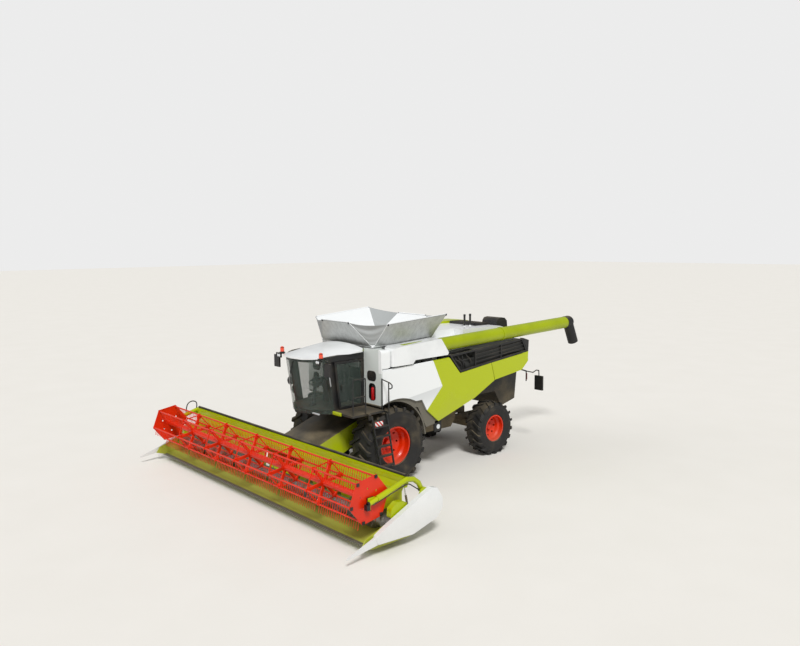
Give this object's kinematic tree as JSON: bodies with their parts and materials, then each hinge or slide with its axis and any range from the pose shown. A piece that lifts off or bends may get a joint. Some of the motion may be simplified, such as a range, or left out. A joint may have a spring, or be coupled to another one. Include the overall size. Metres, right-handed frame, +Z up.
{
  "type": "combine harvester",
  "caption": "Self-propelled combine harvester with a wide grain header, controlled-tine reel, open grain tank and folded unloading tube.",
  "frame": {"origin": "centre of the bounding box, on the ground under the tyres", "axes": "+Z up, -Y the machine's front and driving direction, +X the machine's left side with the ladder and the unloading tube"},
  "size_m": [9.74, 12.47, 4.3874],
  "materials": {
    "undercarriage": "satin dark grey",
    "machine_body": "satin dark grey",
    "engine": "matt",
    "deck_covers": "gloss white",
    "galvanised": "galvanised",
    "black_plastic": "satin",
    "glass": "tinted",
    "white_panels": "gloss",
    "cab_trim": "matt",
    "grey_panels": "satin",
    "lime_panels": "gloss",
    "tyres": "dusty",
    "red_rims": "gloss",
    "rubber_spout": "matt",
    "gusset_cloth": "coated cloth",
    "chrome_rods": "polished",
    "bare_steel": "worn bright",
    "red_reel": "gloss"
  },
  "bodies": {
    "chassis": {"frame": "undercarriage", "separator_body": "machine_body", "engine_block": "engine", "engine_deck": "deck_covers", "grain_tank": "galvanised", "cab_frame": "black_plastic", "cab_glass": "glass", "cab_roof": "white_panels", "cab_interior": "cab_trim", "platform": "undercarriage", "service_boxes": "grey_panels", "mirrors": "black_plastic", "lamps": "black_plastic", "wheel_arches": "black_plastic", "rear_hood": "lime_panels", "side_grilles": "black_plastic", "cooler_intake": "black_plastic", "straw_chopper": "undercarriage", "rear_axle": "undercarriage", "tank_gussets": "gusset_cloth"},
    "front_wheel_left": {"front_tyre_left": "tyres", "front_rim_left": "red_rims"},
    "front_wheel_right": {"front_tyre_right": "tyres", "front_rim_right": "red_rims"},
    "steering_left": {"knuckle_left": "undercarriage"},
    "steering_right": {"knuckle_right": "undercarriage"},
    "rear_wheel_left": {"rear_tyre_left": "tyres", "rear_rim_left": "red_rims"},
    "rear_wheel_right": {"rear_tyre_right": "tyres", "rear_rim_right": "red_rims"},
    "cab_door": {"cab_door": "black_plastic", "cab_door_glass": "glass"},
    "side_door_left": {"side_door_left": "lime_panels"},
    "side_door_right": {"side_door_right": "lime_panels"},
    "unloader": {"unloading_tube": "lime_panels", "tube_fairing": "white_panels", "tube_spout": "rubber_spout"},
    "flap_front": {"tank_flap_front": "galvanised"},
    "flap_rear": {"tank_flap_rear": "galvanised"},
    "flap_left": {"tank_flap_left": "galvanised"},
    "flap_right": {"tank_flap_right": "galvanised"},
    "ladder": {"ladder": "undercarriage"},
    "header": {"feeder_house": "lime_panels", "header_table": "lime_panels", "crop_dividers": "white_panels", "cutterbar": "bare_steel"},
    "lift_barrels": {"lift_barrels": "undercarriage"},
    "lift_rods": {"lift_rods": "chrome_rods"},
    "intake_auger": {"intake_auger": "bare_steel"},
    "reel_arms": {"reel_arms": "lime_panels"},
    "reel_carriage": {"reel_bearings": "undercarriage"},
    "reel_barrels": {"reel_barrels": "undercarriage"},
    "reel_rods": {"reel_rods": "chrome_rods"},
    "reel": {"reel_frame": "red_reel"},
    "tine_bar_1": {"tine_bar_1": "red_reel"},
    "tine_bar_2": {"tine_bar_2": "red_reel"},
    "tine_bar_3": {"tine_bar_3": "red_reel"},
    "tine_bar_4": {"tine_bar_4": "red_reel"},
    "tine_bar_5": {"tine_bar_5": "red_reel"},
    "tine_bar_6": {"tine_bar_6": "red_reel"}
  },
  "joints": [
    {"name": "front_wheel_left_spin", "type": "hinge", "parent": "chassis", "child": "front_wheel_left", "pos_m": [1.35, -2.085, 1.03], "axis": [1, 0, 0], "continuous": true},
    {"name": "front_wheel_right_spin", "type": "hinge", "parent": "chassis", "child": "front_wheel_right", "pos_m": [-1.35, -2.085, 1.03], "axis": [1, 0, 0], "continuous": true},
    {"name": "steering_left", "type": "hinge", "parent": "chassis", "child": "steering_left", "pos_m": [1.01, 1.945, 0.787], "axis": [0, 0, 1], "range_deg": [-30, 30]},
    {"name": "steering_right", "type": "hinge", "parent": "chassis", "child": "steering_right", "pos_m": [-1.01, 1.945, 0.787], "axis": [0, 0, 1], "range_deg": [-30, 30]},
    {"name": "rear_wheel_left_spin", "type": "hinge", "parent": "steering_left", "child": "rear_wheel_left", "pos_m": [1.36, 1.945, 0.787], "axis": [1, 0, 0], "continuous": true},
    {"name": "rear_wheel_right_spin", "type": "hinge", "parent": "steering_right", "child": "rear_wheel_right", "pos_m": [-1.36, 1.945, 0.787], "axis": [1, 0, 0], "continuous": true},
    {"name": "cab_door_hinge", "type": "hinge", "parent": "chassis", "child": "cab_door", "pos_m": [0.92, -2.565, 2.7], "axis": [0, 0, 1], "range_deg": [0, 80]},
    {"name": "side_door_left_hinge", "type": "hinge", "parent": "chassis", "child": "side_door_left", "pos_m": [1.59, -2.485, 3.05], "axis": [0, -0.9995, -0.0325], "range_deg": [0, 75]},
    {"name": "side_door_right_hinge", "type": "hinge", "parent": "chassis", "child": "side_door_right", "pos_m": [-1.59, -2.485, 3.05], "axis": [0, 0.9995, 0.0325], "range_deg": [0, 75]},
    {"name": "unloader_swing", "type": "hinge", "parent": "chassis", "child": "unloader", "pos_m": [1.44, -1.905, 3.1], "axis": [0, 0, -1], "range_deg": [0, 105]},
    {"name": "tank_flap_front_hinge", "type": "hinge", "parent": "chassis", "child": "flap_front", "pos_m": [0, -2.365, 3.6], "axis": [-1, 0, 0], "range_deg": [0, 126], "deforming": ["tank_gussets"]},
    {"name": "tank_flap_rear_hinge", "type": "hinge", "parent": "chassis", "child": "flap_rear", "pos_m": [0, -0.315, 3.6], "axis": [1, 0, 0], "range_deg": [0, 126]},
    {"name": "tank_flap_left_hinge", "type": "hinge", "parent": "chassis", "child": "flap_left", "pos_m": [1.13, -1.385, 3.614], "axis": [0, -1, 0], "range_deg": [0, 120]},
    {"name": "tank_flap_right_hinge", "type": "hinge", "parent": "chassis", "child": "flap_right", "pos_m": [-1.13, -1.385, 3.614], "axis": [0, 1, 0], "range_deg": [0, 120]},
    {"name": "ladder_swing", "type": "hinge", "parent": "chassis", "child": "ladder", "pos_m": [1.79, -3.085, 1.95], "axis": [0, 0, -1], "range_deg": [0, 150]},
    {"name": "header_lift", "type": "hinge", "parent": "chassis", "child": "header", "pos_m": [0, -2.085, 1.58], "axis": [-1, 0, 0], "range_deg": [0, 20]},
    {"name": "lift_barrel_pivot", "type": "hinge", "parent": "chassis", "child": "lift_barrels", "pos_m": [0, -2.335, 0.62], "axis": [-1, 0, 0], "range_deg": [0, 21.5]},
    {"name": "lift_rod_slide", "type": "slide", "parent": "lift_barrels", "child": "lift_rods", "axis": [0, -1, 0], "range_m": [0, 0.342]},
    {"name": "auger_spin", "type": "hinge", "parent": "header", "child": "intake_auger", "pos_m": [0, -4.825, 0.485], "axis": [1, 0, 0], "continuous": true},
    {"name": "reel_lift", "type": "hinge", "parent": "header", "child": "reel_arms", "pos_m": [0, -4.045, 1.06], "axis": [-1, 0, 0], "range_deg": [0, 28]},
    {"name": "reel_barrel_pivot", "type": "hinge", "parent": "header", "child": "reel_barrels", "pos_m": [0, -4.385, 0.64], "axis": [-1, 0, 0], "range_deg": [0, 12.6]},
    {"name": "reel_rod_slide", "type": "slide", "parent": "reel_barrels", "child": "reel_rods", "axis": [0, -0.1993, 0.9799], "range_m": [0, 0.1843]},
    {"name": "reel_reach", "type": "slide", "parent": "reel_arms", "child": "reel_carriage", "axis": [0, -0.9652, -0.2616], "range_m": [0, 0.2]},
    {"name": "reel_spin", "type": "hinge", "parent": "reel_carriage", "child": "reel", "pos_m": [0, -5.415, 1.13], "axis": [-1, 0, 0], "continuous": true},
    {"name": "tine_bar_1_turn", "type": "hinge", "parent": "reel", "child": "tine_bar_1", "pos_m": [0, -5.24298, 1.57812], "axis": [-1, 0, 0], "continuous": true},
    {"name": "tine_bar_2_turn", "type": "hinge", "parent": "reel", "child": "tine_bar_2", "pos_m": [0, -5.71707, 1.50303], "axis": [-1, 0, 0], "continuous": true},
    {"name": "tine_bar_3_turn", "type": "hinge", "parent": "reel", "child": "tine_bar_3", "pos_m": [0, -5.88909, 1.05491], "axis": [-1, 0, 0], "continuous": true},
    {"name": "tine_bar_4_turn", "type": "hinge", "parent": "reel", "child": "tine_bar_4", "pos_m": [0, -5.58702, 0.68188], "axis": [-1, 0, 0], "continuous": true},
    {"name": "tine_bar_5_turn", "type": "hinge", "parent": "reel", "child": "tine_bar_5", "pos_m": [0, -5.11293, 0.75697], "axis": [-1, 0, 0], "continuous": true},
    {"name": "tine_bar_6_turn", "type": "hinge", "parent": "reel", "child": "tine_bar_6", "pos_m": [0, -4.94091, 1.20509], "axis": [-1, 0, 0], "continuous": true}
  ],
  "couplings": [
    {"joint": "steering_right", "follows": "steering_left", "ratio": 1},
    {"joint": "tank_flap_rear_hinge", "follows": "tank_flap_front_hinge", "ratio": 1},
    {"joint": "tank_flap_left_hinge", "follows": "tank_flap_front_hinge", "ratio": 0.95238},
    {"joint": "tank_flap_right_hinge", "follows": "tank_flap_front_hinge", "ratio": 0.95238},
    {"joint": "lift_barrel_pivot", "follows": "header_lift", "ratio": 1.0723},
    {"joint": "lift_rod_slide", "follows": "header_lift", "m_per_rad": 0.9766},
    {"joint": "reel_barrel_pivot", "follows": "reel_lift", "ratio": 0.4464},
    {"joint": "reel_rod_slide", "follows": "reel_lift", "m_per_rad": 0.3767},
    {"joint": "tine_bar_1_turn", "follows": "reel_spin", "ratio": -1},
    {"joint": "tine_bar_2_turn", "follows": "reel_spin", "ratio": -1},
    {"joint": "tine_bar_3_turn", "follows": "reel_spin", "ratio": -1},
    {"joint": "tine_bar_4_turn", "follows": "reel_spin", "ratio": -1},
    {"joint": "tine_bar_5_turn", "follows": "reel_spin", "ratio": -1},
    {"joint": "tine_bar_6_turn", "follows": "reel_spin", "ratio": -1}
  ]
}
